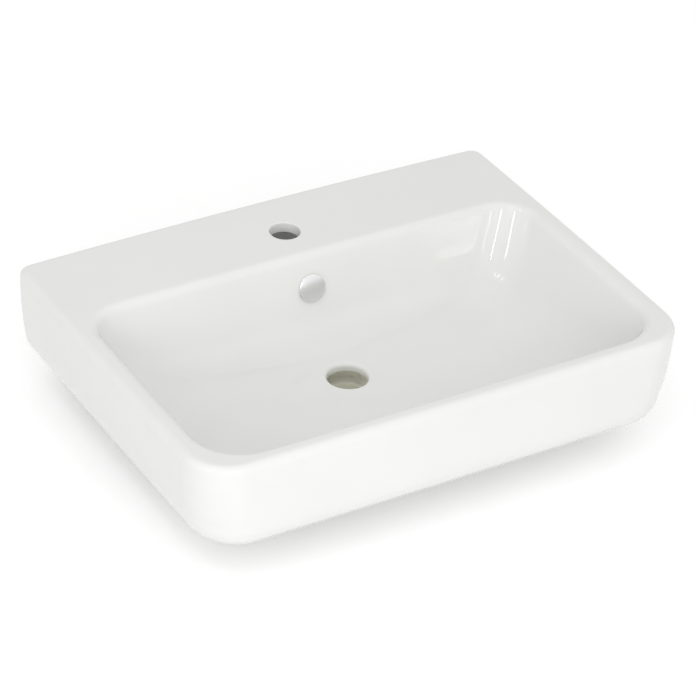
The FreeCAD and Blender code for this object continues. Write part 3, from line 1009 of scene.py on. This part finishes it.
seal = {"ring": 11.15, "section": 0.79, "height": -4.2, "sides": 24, "columns": 120}
sealRows = [
    (seal["ring"] + seal["section"] * math.cos(a), seal["height"] + seal["section"] * math.sin(a))
    for a in np.linspace(0, 2 * math.pi, seal["sides"] + 1)
]
sealForm = Form()
sealForm.grid(turnedRows(sealRows, seal["columns"]))
placed("overflowSeal", sealForm, (ringRubber,), "overflow_seal", "overflow_cover", tilt)
print("cover made")

# The room: a pale floor, soft bright surroundings, and lamps where the glaze shows them.
room = {
    "middle": -220,
    "floorReach": 6000,
    "floorLevel": -80.5,
    "floor": (0.90, 0.90, 0.90),
    "floorPatch": (0.92, 0.92, 0.92),
    "floorGlow": 0.28,
    "horizon": 0.62,
    "zenith": 0.88,
    "skyBand": (0.1, 0.9),
    "behind": 0.8,
    "behindBand": (-0.4, 0.8),
}
floorForm = Form()
floorLines = [line * room["floorReach"] for line in np.linspace(-1, 1, 33)]
floorRows = [[(x, y + room["middle"], room["floorLevel"]) for x in floorLines] for y in floorLines]
floorForm.grid(floorRows, closed=False)
floorFinish = Finish("paleFloor", {"Roughness": 0.9, "Emission Strength": 1.0})
floorFinish.feed("Base Color", floorFinish.noise(3, 2).blended(room["floor"], room["floorPatch"]))
glow = floorFinish.shown().blended((0, 0, 0), (room["floorGlow"],) * 3)
floorFinish.feed("Emission Color", glow)
floorObject = bpy.data.objects.new("paleFloor", floorForm.mesh("paleFloor"))
bpy.context.scene.collection.objects.link(floorObject)
floorObject.data.materials.append(floorFinish.material)

world = bpy.data.worlds.new("studio")
bpy.context.scene.world = world
world.use_nodes = True
studio = Nodes(world.node_tree)
way = studio.node("ShaderNodeTexCoord", "Generated")
skyward = studio.node("ShaderNodeSeparateXYZ", "Z", {"Vector": way})
backward = studio.node("ShaderNodeSeparateXYZ", "Y", {"Vector": way})
sky = skyward.between(*room["skyBand"]).blended((room["horizon"],) * 3, (room["zenith"],) * 3)
sky = (backward.between(*room["behindBand"]) * (1 - room["behind"])).blended(sky, (0, 0, 0))
sky = studio.shown().blended(sky, (1, 1, 1))
studio.fill(world.node_tree.nodes["Background"].inputs["Color"], sky)


def softbox(name, place, size, energy, mirrored=True):
    # A rectangular lamp that faces the bowl. An unmirrored one stays out of reflections.
    lamp = bpy.data.lights.new(name, "AREA")
    lamp.shape = "RECTANGLE"
    lamp.size, lamp.size_y = size
    lamp.energy = energy
    holder = bpy.data.objects.new(name, lamp)
    bpy.context.scene.collection.objects.link(holder)
    holder.location = place
    aim = Vector((0, room["middle"] * mm, 0)) - place
    holder.rotation_euler = aim.to_track_quat("-Z", "Y").to_euler()
    holder.visible_glossy = mirrored


def around(azimuth, elevation, distance=3):
    # A place round the bowl. Azimuth 0 is straight in front, and it grows to the right.
    turn, tip = math.radians(azimuth), math.radians(elevation)
    flat = distance * math.cos(tip)
    across, ahead = flat * math.sin(turn), flat * math.cos(turn)
    return Vector((across, room["middle"] * mm - ahead, distance * math.sin(tip)))


# Each lamp's azimuth and elevation, its width and height in metres, and its power.
lamps = {
    "frontBox": (-24, 14, 2.4, 1.5, 19.5),
    "streakNear": (-18, 23, 0.10, 0.84, 4.5),
    "streakLeft": (-63, 24, 0.12, 0.95, 5),
    "streakFar": (-110.5, 11.7, 0.10, 0.30, 0.45),
    "streakRight": (12, 10.8, 0.10, 0.30, 0.6),
}
sparks = {"azimuths": (-54, -72, -97), "elevation": 62, "size": (0.12, 0.50), "power": 1.2}
for name, (azimuth, elevation, width, height, power) in lamps.items():
    softbox(name, around(azimuth, elevation), (width, height), power, name != "frontBox")
for azimuth in sparks["azimuths"]:
    softbox("spark", around(azimuth, sparks["elevation"]), sparks["size"], sparks["power"])
print("room made")

view = {
    "place": (-1.55914, -2.67473, 1.96165),
    "azimuth": -32.3848,
    "elevation": 33.9238,
    "roll": 3.4667,
    "lens": 165.287,
    "sensor": 36,
    "farEnd": 50,
}


def aimed(settings):
    turn, tip, roll = (math.radians(settings[key]) for key in ("azimuth", "elevation", "roll"))
    back = Vector((math.sin(turn) * math.cos(tip), -math.cos(turn) * math.cos(tip), math.sin(tip)))
    right = (-back).cross(Vector((0, 0, 1))).normalized()
    top = right.cross(-back)
    across = right * math.cos(roll) + top * math.sin(roll)
    upward = top * math.cos(roll) - right * math.sin(roll)
    turned = Matrix((across, upward, back)).transposed().to_4x4()
    return Matrix.Translation(Vector(settings["place"])) @ turned


lens = bpy.data.cameras.new("photoView")
lens.sensor_width = view["sensor"]
lens.lens = view["lens"]
lens.clip_end = view["farEnd"]
eye = bpy.data.objects.new("photoView", lens)
bpy.context.scene.collection.objects.link(eye)
eye.matrix_world = aimed(view)
bpy.context.scene.camera = eye
bpy.context.scene.view_settings.view_transform = "Standard"
